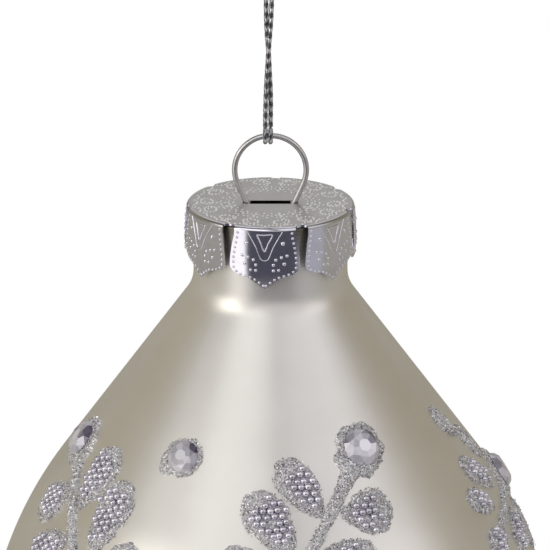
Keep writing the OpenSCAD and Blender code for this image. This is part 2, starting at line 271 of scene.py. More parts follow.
def carried_frames(path):
    """At each point of a path, two directions across it that turn as little as they can."""
    ahead = np.gradient(path, axis=0)
    ahead /= np.linalg.norm(ahead, axis=1)[:, None]
    side = np.cross(ahead[0], (0, 1, 0.01))
    sides = []
    for t in ahead:
        side = side - t * np.dot(side, t)
        side /= np.linalg.norm(side)
        sides.append(side)
    sides = np.array(sides)
    return sides, np.cross(ahead, sides)


def sweep(shape, path, radius, sides, closed=False, tone=None):
    """A tube along a path. radius(run, angles) gives the section at a distance along it."""
    across, over = carried_frames(path)
    run = run_along(path)
    angles = np.linspace(0, 2 * math.pi, sides, endpoint=False)
    points, faces, tones = [], [], []
    for i, middle in enumerate(path):
        r = radius(run[i], angles)
        points += list(middle + (np.cos(angles) * r)[:, None] * across[i]
                       + (np.sin(angles) * r)[:, None] * over[i])
    rings = len(path)
    for i in range(rings if closed else rings - 1):
        a, b = i * sides, (i + 1) % rings * sides
        for k in range(sides):
            k2 = (k + 1) % sides
            faces.append((a + k, a + k2, b + k2, b + k))
            tones.append(tone(run[i], angles[k]) if tone else TONE_PLAIN)
    if not closed:
        faces += [tuple(range(sides))[::-1], tuple((rings - 1) * sides + k for k in range(sides))]
        tones += [TONE_PLAIN, TONE_PLAIN]
    shape.add(points, faces, tones)


# ---- materials
def new_look(name, **sockets):
    """A material whose shader sockets are set straight to constants."""
    look = bpy.data.materials.new(name)
    look.use_nodes = True
    shader = look.node_tree.nodes["Principled BSDF"]
    for socket, value in sockets.items():
        shader.inputs[socket.replace("_", " ")].default_value = value
    return look, look.node_tree, shader


def feed(tree, value, socket):
    """Links a socket to the one that feeds it, or sets it to a constant."""
    if isinstance(value, bpy.types.NodeSocket):
        tree.links.new(value, socket)
    else:
        socket.default_value = value


def add_node(tree, kind, **values):
    """A node whose inputs are set to constants or fed by sockets; other names are its settings."""
    node = tree.nodes.new(kind)
    for key, value in values.items():
        socket = node.inputs.get(key.replace("_", " "))
        if socket is None:
            setattr(node, key, value)
        else:
            feed(tree, value, socket)
    return node


def ramp(tree, source, stops):
    """A colour ramp fed by a socket; each stop is (position, colour)."""
    node = tree.nodes.new("ShaderNodeValToRGB")
    elements = node.color_ramp.elements
    elements[0].position, elements[0].color = stops[0][0], (*stops[0][1], 1)
    elements[1].position, elements[1].color = stops[-1][0], (*stops[-1][1], 1)
    for position, colour in stops[1:-1]:
        elements.new(position).color = (*colour, 1)
    tree.links.new(source, node.inputs["Fac"])
    return node.outputs["Color"]


def spread(tree, source, low, high):
    """Maps 0 to 1 onto low to high."""
    return add_node(tree, "ShaderNodeMapRange", Value=source, To_Min=low, To_Max=high).outputs["Result"]


def grain(tree, scale, detail=3.0):
    """Noise in the object's own coordinates, in metres."""
    where = tree.nodes.new("ShaderNodeTexCoord").outputs["Object"]
    return add_node(tree, "ShaderNodeTexNoise", Vector=where, Scale=scale, Detail=detail).outputs["Fac"]


def bump(tree, shader, height, distance, strength):
    node = add_node(tree, "ShaderNodeBump", Height=height, Strength=strength, Distance=distance)
    tree.links.new(node.outputs["Normal"], shader.inputs["Normal"])


def paint(tree, shader, colour, roughness=None):
    tree.links.new(colour, shader.inputs["Base Color"])
    if roughness is not None:
        tree.links.new(roughness, shader.inputs["Roughness"])


def tone_of(tree):
    return add_node(tree, "ShaderNodeAttribute", attribute_name="tone").outputs["Fac"]


def mixed(tree, share, first, second, blend="MIX"):
    node = add_node(tree, "ShaderNodeMixRGB", blend_type=blend, Fac=share, Color1=first, Color2=second)
    return node.outputs["Color"]


def grey_ramp(tree, source, stops):
    return ramp(tree, source, [(position, (level, level, level)) for position, level in stops])


def pearl_look():
    """Champagne pearl lacquer over silvered glass, with a soft sheen; painted shadow darkens the neck
    towards the cap.
    """
    look, tree, shader = new_look(
        "pearl_glass", Metallic=0.72, Roughness=0.36, Coat_Weight=0.25, Coat_Roughness=0.3,
        Specular_Tint=(0.86, 0.82, 0.7, 1))
    pearl = ramp(tree, grain(tree, 90, 4), [(0.3, (0.80, 0.775, 0.735)), (0.7, (0.86, 0.84, 0.81))])
    # Painted shadow: low tones darken the glass to dark olive, for the shade under the cap.
    neck_shadow = ramp(tree, tone_of(tree), [(0.0, (0.16, 0.15, 0.11)), (0.5, (1, 1, 1))])
    colour = mixed(tree, 1.0, pearl, neck_shadow, "MULTIPLY")
    paint(tree, shader, colour, spread(tree, grain(tree, 2500), 0.33, 0.4))
    bump(tree, shader, grain(tree, 5000, 2), 0.00001, 0.25)
    return look


def cap_look():
    """Stamped tinplate with painted light: the flat top is greyed as painted shade, the tabs are bright,
    the front tab's rim stays brighter than the other rims as a painted highlight, and the stamped dots on
    the top are whitened as painted glints.
    """
    look, tree, shader = new_look("cap_metal", Metallic=1.0)
    tone = tone_of(tree)
    # The darker stops for the top and the side rims are painted shade; the white stop for the top's dots is
    # a painted glint.
    metal = ramp(tree, tone, [(0.0, (0.53, 0.52, 0.525)), (0.3, (0.6, 0.59, 0.6)),
                              (0.45, (0.83, 0.82, 0.91)), (0.6, (0.83, 0.82, 0.91)), (0.9, (1, 1, 1))])
    worn = grey_ramp(tree, grain(tree, 600, 4), [(0.3, 0.9), (0.7, 1)])
    gloss = grey_ramp(tree, tone, [(0.0, 0.34), (0.3, 0.3), (0.45, 0.12), (0.6, 0.12), (1.0, 0.45)])
    paint(tree, shader, mixed(tree, 1.0, metal, worn, "MULTIPLY"), gloss)
    bump(tree, shader, grain(tree, 700, 2), 0.00002, 0.3)
    return look


def wire_look():
    """Drawn spring wire with a satin polish and faint marks."""
    look, tree, shader = new_look("steel_wire", Metallic=1.0)
    colour = ramp(tree, grain(tree, 1500), [(0.3, (0.62, 0.61, 0.61)), (0.7, (0.7, 0.69, 0.7))])
    paint(tree, shader, colour, spread(tree, grain(tree, 3000), 0.32, 0.42))
    bump(tree, shader, grain(tree, 4000, 2), 0.00001, 0.06)
    return look


def lurex_look():
    """Silver lurex thread: the tone of each face sets flecks from near black to white."""
    look, tree, shader = new_look("lurex_cord", Metallic=0.85, Roughness=0.24)
    paint(tree, shader, ramp(tree, tone_of(tree), [
        (0.0, (0.04, 0.04, 0.045)), (0.25, (0.22, 0.22, 0.24)), (0.6, (0.62, 0.62, 0.66)),
        (1.0, (1.0, 1.0, 1.0))]))
    bump(tree, shader, grain(tree, 9000, 2), 0.00002, 0.5)
    return look


def glitter_look():
    """Glitter in clear glue: every small facet has its own tone and gloss, and the white and near-black
    tones strewn at random are painted sparkle and painted shade.
    """
    look, tree, shader = new_look("glitter_glue", Metallic=0.5)
    tone = tone_of(tree)
    colour = ramp(tree, tone, [
        (0.0, (0.08, 0.075, 0.09)), (0.15, (0.36, 0.35, 0.37)), (0.5, (0.62, 0.61, 0.63)),
        (0.8, (0.82, 0.81, 0.83)), (1.0, (1.0, 1.0, 1.0))])
    paint(tree, shader, colour, spread(tree, tone, 0.5, 0.25))
    bump(tree, shader, grain(tree, 8000, 2), 0.00003, 0.4)
    return look


def bead_look():
    """Small silvered beads with a cool lilac cast."""
    look, tree, shader = new_look("bead", Metallic=0.78, Coat_Weight=0.3, Coat_Roughness=0.1)
    colour = ramp(tree, tone_of(tree), [(0.0, (0.62, 0.60, 0.68)), (1.0, (0.9, 0.88, 0.96))])
    paint(tree, shader, colour, spread(tree, grain(tree, 3000), 0.13, 0.2))
    return look


def stone_look():
    """Foil-backed faceted stone: pale lilac on top, with painted reflections as a few dark violet facets
    and a white heart.
    """
    look, tree, shader = new_look("rhinestone", Metallic=0.3, Coat_Weight=0.3, Coat_Roughness=0.1)
    colour = ramp(tree, tone_of(tree), [
        (0.0, (0.04, 0.03, 0.06)), (0.3, (0.13, 0.11, 0.17)), (0.6, (0.56, 0.545, 0.61)),
        (1.0, (0.92, 0.905, 0.97))])
    paint(tree, shader, colour, spread(tree, grain(tree, 1200), 0.2, 0.3))
    return look


def floor_look():
    look, tree, shader = new_look("floor", Roughness=0.8, Emission_Color=(1, 1, 1, 1),
                                  Emission_Strength=0.22)
    paint(tree, shader, ramp(tree, grain(tree, 20), [(0.3, (0.92, 0.92, 0.91)), (0.7, (0.96, 0.96, 0.95))]))
    return look


# ---- the cord
def ply_section(run, angles):
    """Two plies twisted together, each of them ribbed by its own finer twist."""
    turn = 2 * math.pi * run / CORD_TWIST_L
    plies = np.abs(np.cos(angles - turn))
    ribs = np.cos(9 * (angles - turn) + run * 14)
    return CORD_D / 2 * (0.8 + 0.2 * plies ** 0.8 + 0.035 * ribs)


def lurex_tone(rng):
    """White and dark flecks on the plies, one of each for every half twist."""
    def tone(run, angle):
        turn = 2 * math.pi * run / CORD_TWIST_L
        ply = abs(math.cos(angle - turn))
        fleck = 0.5 + 0.5 * math.cos(2 * math.pi * run / (CORD_TWIST_L / 2) + 1.5 * math.sin(angle))
        return min(1, max(0, 0.12 + 0.5 * ply * fleck + 0.42 * fleck ** 3 + rng.uniform(-0.2, 0.2)))
    return tone


def make_strand(name, route, look):
    rng = random.Random(name)
    path = smooth_path(route[::-1], 0.07)
    shape = Shape()
    sweep(shape, path, ply_section, 24, tone=lurex_tone(rng))
    strand = shape.make(name, look, smooth=True)
    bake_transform(strand)
    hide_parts("cord_" + name)


def make_knot(look):
    """Three wraps round both strands, whose ends come out above as two tails."""
    rng = random.Random(11)
    shape = Shape()
    turns = 3
    wrap = []
    for i in range(24 * turns + 1):
        a = 2 * math.pi * i / 24
        wrap.append((1.02 * math.cos(a), 0.74 * math.sin(a), 0.4 + 0.68 * i / 24))
    sweep(shape, smooth_path(wrap, 0.1), ply_section, 20, tone=lurex_tone(rng))
    for side in (-1, 1):
        lean = math.sin(math.radians(12)) * side
        tail = [(side * 0.38, 0, 0.2), (side * 0.38, 0, 1.2), (side * 0.45, 0.02, 2.4)]
        tail += [(side * 0.45 + lean * l, 0.1 * side * math.sin(l), 2.4 + l) for l in (2, 4, 6)]
        sweep(shape, smooth_path(tail, 0.1), ply_section, 20, tone=lurex_tone(rng))
        for _ in range(9):
            start = np.array(tail[-1]) + [rng.uniform(-0.2, 0.2), rng.uniform(-0.2, 0.2), -0.3]
            out = np.array([rng.uniform(-0.5, 0.5), rng.uniform(-0.5, 0.5), 1.1])
            sweep(shape, smooth_path([start, start + out * 0.5, start + out], 0.2),
                  even(0.04), 5)
    knot = shape.make("cord_knot_wraps", look, smooth=True)
    hand_over(knot, "cord_knot", "cord")


def make_hitch(look):
    """Two turns of the cord round the top of the ring."""
    rng = random.Random(12)
    shape = Shape()
    for x in HITCH_X:
        around = np.linspace(0, 2 * math.pi, 84, endpoint=False)
        path = np.stack([np.full(84, x), HITCH_R * np.cos(around),
                         RING_TOP_Z - WIRE_R + HITCH_R * np.sin(around)], axis=1)
        sweep(shape, path, ply_section, 24, closed=True, tone=lurex_tone(rng))
    hitch = shape.make("cord_hitch_turns", look, smooth=True)
    hand_over(hitch, "cord_hitch", "hitch")


# ---- the ring clip
def clip_route():
    """The wire from one spring arm's end, up through the slot, round the ring and back."""
    ring_z = RING_TOP_Z - RING_D / 2
    ring_r = RING_D / 2 - WIRE_R
    c, s = math.cos(LEG_LEAN), math.sin(LEG_LEAN)
    leg_l = (ring_z - ring_r * s - SLOT_Z) / c + 0.6

    def leg(f):
        """A place on the straight leg, from the ring at 0 to the bend at 1."""
        return ring_r * c - leg_l * s * f, ring_z - ring_r * s - leg_l * c * f

    foot = leg(1)
    hub = (foot[0] + LEG_BEND_R * c, foot[1] - LEG_BEND_R * s)
    half = []
    for i in range(25):
        a = math.pi / 2 - (math.pi / 2 + LEG_LEAN) * i / 24
        half.append((ring_r * math.cos(a), ring_z + ring_r * math.sin(a)))
    half += [leg(f) for f in (0.25, 0.5, 0.75)]
    for i in range(9):
        a = math.pi - LEG_LEAN + (LEG_LEAN + LEG_SPLAY) * i / 8
        half.append((hub[0] + LEG_BEND_R * math.cos(a), hub[1] + LEG_BEND_R * math.sin(a)))
    knee = half[-1]
    out = (math.sin(LEG_SPLAY), -math.cos(LEG_SPLAY))
    half += [(knee[0] + out[0] * l, knee[1] + out[1] * l) for l in (1, 3, 6, SPRING_L - 0.1)]
    right = [(x, 0, z) for x, z in half]
    left = [(-x, 0, z) for x, z in half[:0:-1]]
    return left + right


def make_ring_clip(look):
    path = smooth_path(clip_route(), 0.2)
    total = path_length(path)

    def section(run, angles):
        end = min(run, total - run)
        rounded = math.sqrt(max(0.02, 1 - (1 - min(end, WIRE_R) / WIRE_R) ** 2))
        return np.full(len(angles), WIRE_R * rounded)

    shape = Shape()
    sweep(shape, path, section, 24)
    clip = shape.make("ring_clip_wire", look, smooth=True)
    hand_over(clip, "ring_clip", "clip")


# ---- the cap
FLAT_END = CAP_R - RIM_R
RIM_END = FLAT_END + RIM_R * math.pi / 2
SKIRT_L = TAB_DROP + 0.5 - RIM_R
HALF_PITCH = math.pi / TAB_COUNT


def cap_profile(s, lift=0.0):
    """Radius and drop at distance s from the axis along the cap's face, raised by lift."""
    if s <= FLAT_END:
        return s, -lift
    if s <= RIM_END:
        a = (s - FLAT_END) / RIM_R
        r, drop = FLAT_END + RIM_R * math.sin(a), RIM_R * (1 - math.cos(a))
        normal = (math.sin(a), math.cos(a))
    else:
        f = (s - RIM_END) / SKIRT_L
        slope = SKIRT_BELLY * math.pi * math.cos(math.pi * f) - 2 * SKIRT_TUCK * f
        size = math.hypot(SKIRT_L, slope)
        r = CAP_R + SKIRT_BELLY * math.sin(math.pi * f) - SKIRT_TUCK * f * f
        drop, normal = RIM_R + f * SKIRT_L, (SKIRT_L / size, slope / size)
    return r + lift * normal[0], drop - lift * normal[1]


def cap_point(azimuth, s, lift=0.0):
    r, drop = cap_profile(s, lift)
    return r * math.sin(azimuth), -r * math.cos(azimuth), CAP_Z - drop


def notch_half(s):
    """Half the gap between two tabs at distance s along the cap's face."""
    middle = NOTCH_TOP_R + NOTCH_W / 2
    half = NOTCH_W / 2
    if s < NOTCH_TOP_R:
        return 0.0
    if s < middle:
        return math.sqrt(max(0, half ** 2 - (s - middle) ** 2))
    drop = cap_profile(s)[1]
    offsets, drops = zip(*NOTCH_SIDE)
    return half + float(np.mean([np.interp(drop + 0.03 * k, drops, offsets) for k in range(-4, 5)]))


def tab_half_angle(s):
    return HALF_PITCH - math.asin(min(1, notch_half(s) / cap_profile(s)[0]))


def tab_tip():
    """The distance along the face at which a tab ends."""
    low, high = RIM_END + 6, RIM_END + SKIRT_L
    for _ in range(40):
        middle = (low + high) / 2
        low, high = (middle, high) if tab_half_angle(middle) > 0.002 else (low, middle)
    return low


def slot_edge(azimuth):
    """Distance from the axis to the slot's edge, which is a little ragged."""
    x, y = math.sin(azimuth), -math.cos(azimuth)
    flat = SLOT_L / 2 - SLOT_W / 2
    reach = SLOT_W / 2 / max(abs(y), 1e-6)
    if abs(reach * x) > flat:
        half_b = flat * abs(x)
        reach = half_b + math.sqrt(max(0, half_b ** 2 - flat ** 2 + (SLOT_W / 2) ** 2))
    return reach * (1 + 0.04 * noise.noise(Vector((reach * x * 3, reach * y * 3, 0))))


def make_cap_sheet(shape):
    """One sheet with seven tabs: a grid for each tab's sector, welded to its neighbours."""
    tip = tab_tip()
    inner_r = 5.0
    rows = [("slot", i / 6) for i in range(6)]
    taper = RIM_END + 5.2
    for start, end, count in ((inner_r, NOTCH_TOP_R, 12), (NOTCH_TOP_R, FLAT_END, 12),
                              (FLAT_END, RIM_END, 10), (RIM_END, taper, 22)):
        rows += [("face", s) for s in np.linspace(start, end, count, endpoint=False)]
    rows += [("face", s) for s in np.linspace(taper, tip, 46)]
    columns = 28
    outer, inner, index, faces, tones = [], [], {}, [], []

    def vertex(azimuth, kind, value):
        s = slot_edge(azimuth) * (1 - value) + inner_r * value if kind == "slot" else value
        p = cap_point(azimuth, s)
        key = tuple(round(c, 3) for c in p)
        if key not in index:
            index[key] = len(outer)
            outer.append(p)
            inner.append(cap_point(azimuth, s, -SHEET_T))
        return index[key]

    for k in range(TAB_COUNT):
        centre = math.radians(CAP_TURN) + 2 * HALF_PITCH * k
        grid = []
        for kind, value in rows:
            half = HALF_PITCH if kind == "slot" else tab_half_angle(value)
            grid.append([vertex(centre + half * u, kind, value)
                         for u in np.linspace(-1, 1, columns + 1)])
        for (kind, value), upper, lower in zip(rows, grid, grid[1:]):
            # Painted light: the flat top takes the darker tone as painted shade; the front tab's rim keeps
            # the pale tone as a painted highlight, the other rims take TONE_RIM.
            tone = TONE_TOP if kind == "slot" or value < FLAT_END else TONE_PLAIN
            if k > 0 and tone == TONE_PLAIN and value < RIM_END:
                tone = TONE_RIM
            for i in range(columns):
                corners = []
                for v in (upper[i], upper[i + 1], lower[i + 1], lower[i]):
                    if v not in corners:
                        corners.append(v)
                if len(corners) > 2:
                    faces.append(tuple(corners[::-1]))
                    tones.append(tone)
    count = len(outer)
    edges = dict.fromkeys(edge for f in faces for edge in zip(f, f[1:] + f[:1]))
    walls = [(b, a, a + count, b + count) for a, b in edges if (b, a) not in edges]
    back = [tuple(i + count for i in f[::-1]) for f in faces]
    shape.add(outer + inner, faces + walls + back, tones + [TONE_PLAIN] * (len(walls) + len(back)))


def dome(shape, azimuth, s, radius, height, tone=TONE_PLAIN):
    """A stamped dot: a low closed dome that sits in the sheet."""
    r = cap_profile(s)[0]
    points = [cap_point(azimuth, s, height)]
    rings, sides = 4, 12
    for j in range(1, rings + 1):
        a = math.pi / 2 * j / rings
        out = radius * math.sin(a)
        for i in range(sides):
            b = 2 * math.pi * i / sides
            points.append(cap_point(azimuth + out * math.cos(b) / r, s + out * math.sin(b),
                                    height * math.cos(a) - 0.02))
    points.append(cap_point(azimuth, s, -0.1))
    faces = ring_faces(rings, sides)
    shape.add(points, faces, [tone] * len(faces))


def ridge(shape, centre, line, radius):
    """A stamped line on a tab, through points (distance across, drop below the top)."""
    path = []
    for x, drop in line:
        s = RIM_END + max(0, drop - RIM_R)
        r = cap_profile(s)[0]
        path.append(cap_point(centre + math.asin(x / r), s, 0.0))
    sweep(shape, smooth_path(path, 0.12), even(radius), 8)


def tab_dots(centre):
    """Azimuth, distance along the face and radius of the dots on one tab."""
    places, last = [], (99, 99)
    for s in np.linspace(RIM_END + 0.3, tab_tip() - 0.45, 260):
        x = tab_half_angle(s) * cap_profile(s)[0] - 0.55
        if x >= 0.1 and math.hypot(x - last[0], s - last[1]) > 0.72:
            places.append((x, s, 0.21))
            last = (x, s)
    curl = [(2.6, 2.2, 0.3), (3.2, 4.0, 0.24), (2.4, 4.2, 0.24), (1.6, 4.55, 0.24),
            (1.25, 5.3, 0.24), (1.25, 6.15, 0.24), (2.8, 5.2, 0.27), (2.0, 6.1, 0.22)]
    places += [(x, RIM_END + drop - RIM_R, radius) for x, drop, radius in curl]
    return [(centre + side * x / cap_profile(s)[0], s, radius)
            for x, s, radius in places for side in (-1, 1)]


def disc_dots(centre):
    """Dotted loops, zigzags and rays on the flat top over one tab."""
    dots = []
    for side in (-1, 1):
        for i in range(12):
            a = 2 * math.pi * i / 12
            r = 9.1 + 0.9 * math.sin(a)
            dots.append((centre + side * (2.2 + 1.15 * math.cos(a)) / r, r, 0.18))
        for i in range(10):
            r = 5.4 + 0.56 * i
            dots.append((centre + side * HALF_PITCH * (0.66 + 0.05 * (-1) ** i), r, 0.16))
    for i in range(17):
        r = 10.9 - 0.5 * abs(math.sin(i * math.pi / 4))
        dots.append((centre + HALF_PITCH * 0.9 * (i - 8) / 8, r, 0.18))
    for i in range(9):
        for r in (5.6, 6.7):
            dots.append((centre + HALF_PITCH * (i - 4) / 4.5, r + 0.35 * (-1) ** i, 0.16))
    return dots


def make_cap(look):
    sheet = Shape()
    make_cap_sheet(sheet)
    cap = sheet.make("cap_sheet", look, smooth=True, sharp_angle=40)
    relief = Shape()
    for k in range(TAB_COUNT):
        centre = math.radians(CAP_TURN) + 2 * HALF_PITCH * k
        for azimuth, s, radius in tab_dots(centre):
            dome(relief, azimuth, s, radius, radius * 0.6)
        for azimuth, s, radius in disc_dots(centre):
            # The top's dots take the white TONE_DOT, a painted glint.
            dome(relief, azimuth, s, radius, radius * 0.9, TONE_DOT)
        ridge(relief, centre, [(-1.1, 0.95), (0, 0.95), (1.1, 0.95), (0.55, 2.1), (0, 3.3),
                               (-0.55, 2.1), (-1.1, 0.95)], 0.1)
        ridge(relief, centre, [(-2.5, 0.3), (-1.3, 2.6), (-0.6, 4.3), (0, 4.65),
                               (0.6, 4.3), (1.3, 2.6), (2.5, 0.3)], 0.07)
    stamping = relief.make("cap_stamping", look, smooth=True, sharp_angle=60)
    for piece in (cap, stamping):
        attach(piece, "cap")
    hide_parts("cap")


# ---- the glass
def glass_stretches():
    """The outline in stretches: slope at the start and end, bend radius, length."""
    neck_l, fillet_r, cone_l = 9.55, 6, 32
    belly_r, taper_r, taper_a = 60, 60, 42
    parts = [[0, 0, 0, neck_l], [0, CONE_A, fillet_r, 0], [CONE_A, CONE_A, 0, cone_l],
             [CONE_A, -taper_a, belly_r, 0], [-taper_a, -TIP_A, taper_r, 0]]
    for part in parts:
        if part[2]:
            part[3] = abs(part[1] - part[0]) * math.pi / 180 * part[2]
    return parts


class Outline:
    """The glass's outer face in section, by distance down it from the neck's top."""

    def __init__(self):
        parts = glass_stretches()
        self.set_parts(parts)
        tip_a = math.radians(TIP_A)
        tip_l = (self.starts[-1][0] - TIP_R * math.cos(tip_a)) / math.sin(tip_a)
        bend = [-TIP_A, -90, TIP_R, math.radians(90 - TIP_A) * TIP_R]
        self.set_parts(parts + [[-TIP_A, -TIP_A, 0, tip_l], bend])
        self.total = self.reach[-1]

    def set_parts(self, parts):
        self.parts = np.array(parts, float)
        self.reach = np.concatenate([[0], np.cumsum(self.parts[:, 3])])
        self.starts = [np.array([NECK_R, NECK_Z])]
        for part in self.parts:
            self.starts.append(self.starts[-1] + self.step(part, part[1], part[3]))

    @staticmethod
    def step(part, slope, length):
        a, b = math.radians(part[0]), math.radians(slope)
        if part[2] > 0:
            turn = math.copysign(part[2], part[1] - part[0])
            return turn * np.array([math.cos(a) - math.cos(b), math.sin(a) - math.sin(b)])
        return length * np.array([math.sin(a), -math.cos(a)])

    def at(self, d):
        """Radius, height and slope, in radians, at each distance d."""
        d = np.asarray(d, float)
        i = np.clip(np.searchsorted(self.reach, d, side="right") - 1, 0, len(self.parts) - 1)
        part, start = self.parts[i], np.array(self.starts)[i]
        along = d - self.reach[i]
        slope = np.radians(part[..., 0] + (part[..., 1] - part[..., 0]) * along / part[..., 3])
        first = np.radians(part[..., 0])
        turn = np.sign(part[..., 1] - part[..., 0]) * part[..., 2]
        bent = part[..., 2] > 0
        r = start[..., 0] + np.where(bent, turn * (np.cos(first) - np.cos(slope)), along * np.sin(first))
        z = start[..., 1] + np.where(bent, turn * (np.sin(first) - np.sin(slope)), -along * np.cos(first))
        return r, z, slope

    def on(self, azimuth, d, h):
        """Points on the glass, azimuth in degrees, raised by h."""
        r, z, slope = self.at(d)
        a = np.radians(azimuth)
        rr = r + h * np.cos(slope)
        return np.stack([rr * np.sin(a), -rr * np.cos(a), z + h * np.sin(slope)], axis=-1)


outline = Outline()


def make_glass(look):
    """A closed shell: the outer face, the rounded lip of the neck, and the inner face."""
    stations = []
    for k, part in enumerate(outline.parts):
        steps = 16 if part[2] == 0 and part[3] < 15 else max(6, int(part[3] / 1.2))
        stations += list(np.linspace(outline.reach[k], outline.reach[k + 1], steps, endpoint=False))
    r, z, slope = outline.at(stations)
    outer = [(a, b) for a, b in zip(r, z)]
    inner = [(a - WALL * math.cos(s), b - WALL * math.sin(s)) for a, b, s in zip(r, z, slope)]
    lip = [(NECK_R - 0.5 + 0.5 * math.cos(a), NECK_Z - 0.35 + 0.35 * math.sin(a))
           for a in np.linspace(math.pi, 0, 9)]
    outer[0] = lip[-1]
    tip_z = float(outline.at(outline.total)[1])
    section = [(0, tip_z + WALL)] + inner[:0:-1] + lip + outer[1:] + [(0, tip_z)]
    sides = 192
    points = [(0, 0, section[0][1])]
    for radius, height in section[1:-1]:
        for i in range(sides):
            a = 2 * math.pi * i / sides
            points.append((radius * math.sin(a), -radius * math.cos(a), height))
    points.append((0, 0, section[-1][1]))
    faces = ring_faces(len(section) - 2, sides)
    # Painted shadow: the tone falls from plain, 7 mm below the cap, to dark at 0.5 mm below it, for the
    # shade under the cap.
    shadow_from, shadow_l = 0.5, 6.5
    drops = [CAP_Z - np.mean([points[i][2] for i in face]) for face in faces]
    tones = [TONE_PLAIN * min(1, max(0, (drop - shadow_from) / shadow_l)) for drop in drops]
    shape = Shape()
    shape.add(points, faces, tones)
    glass = shape.make("glass_shell", look, smooth=True)
    hand_over(glass, "glass_body")


# ---- the sprigs
def turned(sprig, along, across):
    a = math.radians(sprig[2])
    return (along * math.cos(a) + sprig[3] * across * math.sin(a),
            along * math.sin(a) - sprig[3] * across * math.cos(a))


def place(sprig, along, across):
    """Azimuth, in degrees, and distance down the glass of places in a sprig's flat frame."""
    right, down = turned(sprig, along, across)
    cone = math.sin(math.radians(CONE_A))
    sector = float(outline.at(sprig[1])[0]) / cone
    v = sector + down
    return (sprig[0] + np.degrees(np.arctan2(right, v)) / cone,
            sprig[1] + np.hypot(right, v) - sector)


def place_on_leaf(sprig, leaf, along, across):
    a = math.radians(leaf[2])
    right, down = turned(sprig, along * math.cos(a) - across * math.sin(a),
                         along * math.sin(a) + across * math.cos(a))
    mid_azimuth, mid_d = place(sprig, leaf[0], leaf[1])
    d = mid_d + down
    return mid_azimuth + np.degrees(right / outline.at(d)[0]), d


def leaf_half_w(leaf, f):
    """Half a leaf's width at fraction f of its half length, which is -1 at the stem."""
    round_off = np.maximum(0, 1 - np.abs(f) ** 2.5) ** 0.7
    return leaf[4] / 2 * (1 + 0.35 * f - 0.1 * f * f) * round_off


def disc_grid(across_u, across_v):
    """A square grid from -1 to 1, bent into a disc."""
    u, v = np.meshgrid(np.linspace(-1, 1, across_u), np.linspace(-1, 1, across_v), indexing="ij")
    return u * np.sqrt(1 - v * v / 2), v * np.sqrt(1 - u * u / 2)


def glitter_tone(rng):
    """Mostly middle greys, with a few dark and a few bright flakes, which are painted shade and painted
    sparkle.
    """
    pick = rng.random()
    if pick < 0.12:
        return rng.uniform(0, 0.2)
    if pick > 0.76:
        return rng.uniform(0.9, 1)
    return rng.uniform(0.35, 0.68)


def crust(shape, azimuth, d, height, rng):
    """A closed patch of rough glitter glue from grids of places and heights on the glass."""
    rows, columns = height.shape
    grid = np.random.default_rng(rng.randrange(10 ** 6))
    border = np.zeros_like(height, bool)
    border[0, :] = border[-1, :] = border[:, 0] = border[:, -1] = True
    shift_u, shift_v = grid.uniform(-1, 1, (2, rows, columns)) * np.where(border, 0.13, 0.06)
    h = np.where(border, -0.05, height + grid.uniform(-0.1, 0.1, height.shape))
    points = outline.on(azimuth + np.degrees(shift_u / outline.at(d)[0]), d + shift_v, h)
    index = np.arange(rows * columns).reshape(rows, columns)
    faces = []
    for i in range(rows - 1):
        for j in range(columns - 1):
            a, b, c, e = index[i, j], index[i + 1, j], index[i + 1, j + 1], index[i, j + 1]
            if rng.random() < 0.5:
                faces += [(a, b, c), (a, c, e)]
            else:
                faces += [(a, b, e), (b, c, e)]
    loop = (list(index[0, :-1]) + list(index[:-1, -1]) + list(index[-1, :0:-1]) + list(index[:0:-1, 0]))
    mid = outline.on(azimuth[rows // 2, columns // 2], d[rows // 2, columns // 2], -0.35)
    base = rows * columns
    fan = [(base, a, b) for a, b in zip(loop, loop[1:] + loop[:1])]
    shape.add(list(points.reshape(-1, 3)) + [mid], faces + fan,
              [glitter_tone(rng) for _ in faces] + [0.4] * len(fan))


def chip(shape, azimuth, d, h, size, rng):
    """A loose flake: a thin six-sided plate at a random tilt."""
    middle, outer = Vector(outline.on(azimuth, d, h)), Vector(outline.on(azimuth, d, h + 1))
    lean = Vector((rng.uniform(-1, 1), rng.uniform(-1, 1), rng.uniform(-1, 1))) * 0.6
    up = ((outer - middle).normalized() + lean).normalized()
    side = up.orthogonal().normalized()
    over = up.cross(side)
    ring = [side * math.cos(math.pi / 3 * k) + over * math.sin(math.pi / 3 * k) for k in range(6)]
    points = [middle + size * p + up * 0.015 for p in ring] + [middle + size * p - up * 0.015 for p in ring]
    faces = [tuple(range(6)), tuple(range(11, 5, -1))]
    faces += [(k, 6 + k, 6 + (k + 1) % 6, (k + 1) % 6) for k in range(6)]
    # The white and near-black tones among these are painted sparkle and painted shade.
    shape.add(points, faces, [rng.choice((0.05, 0.4, 0.7, 1.0, 1.0))] * len(faces))


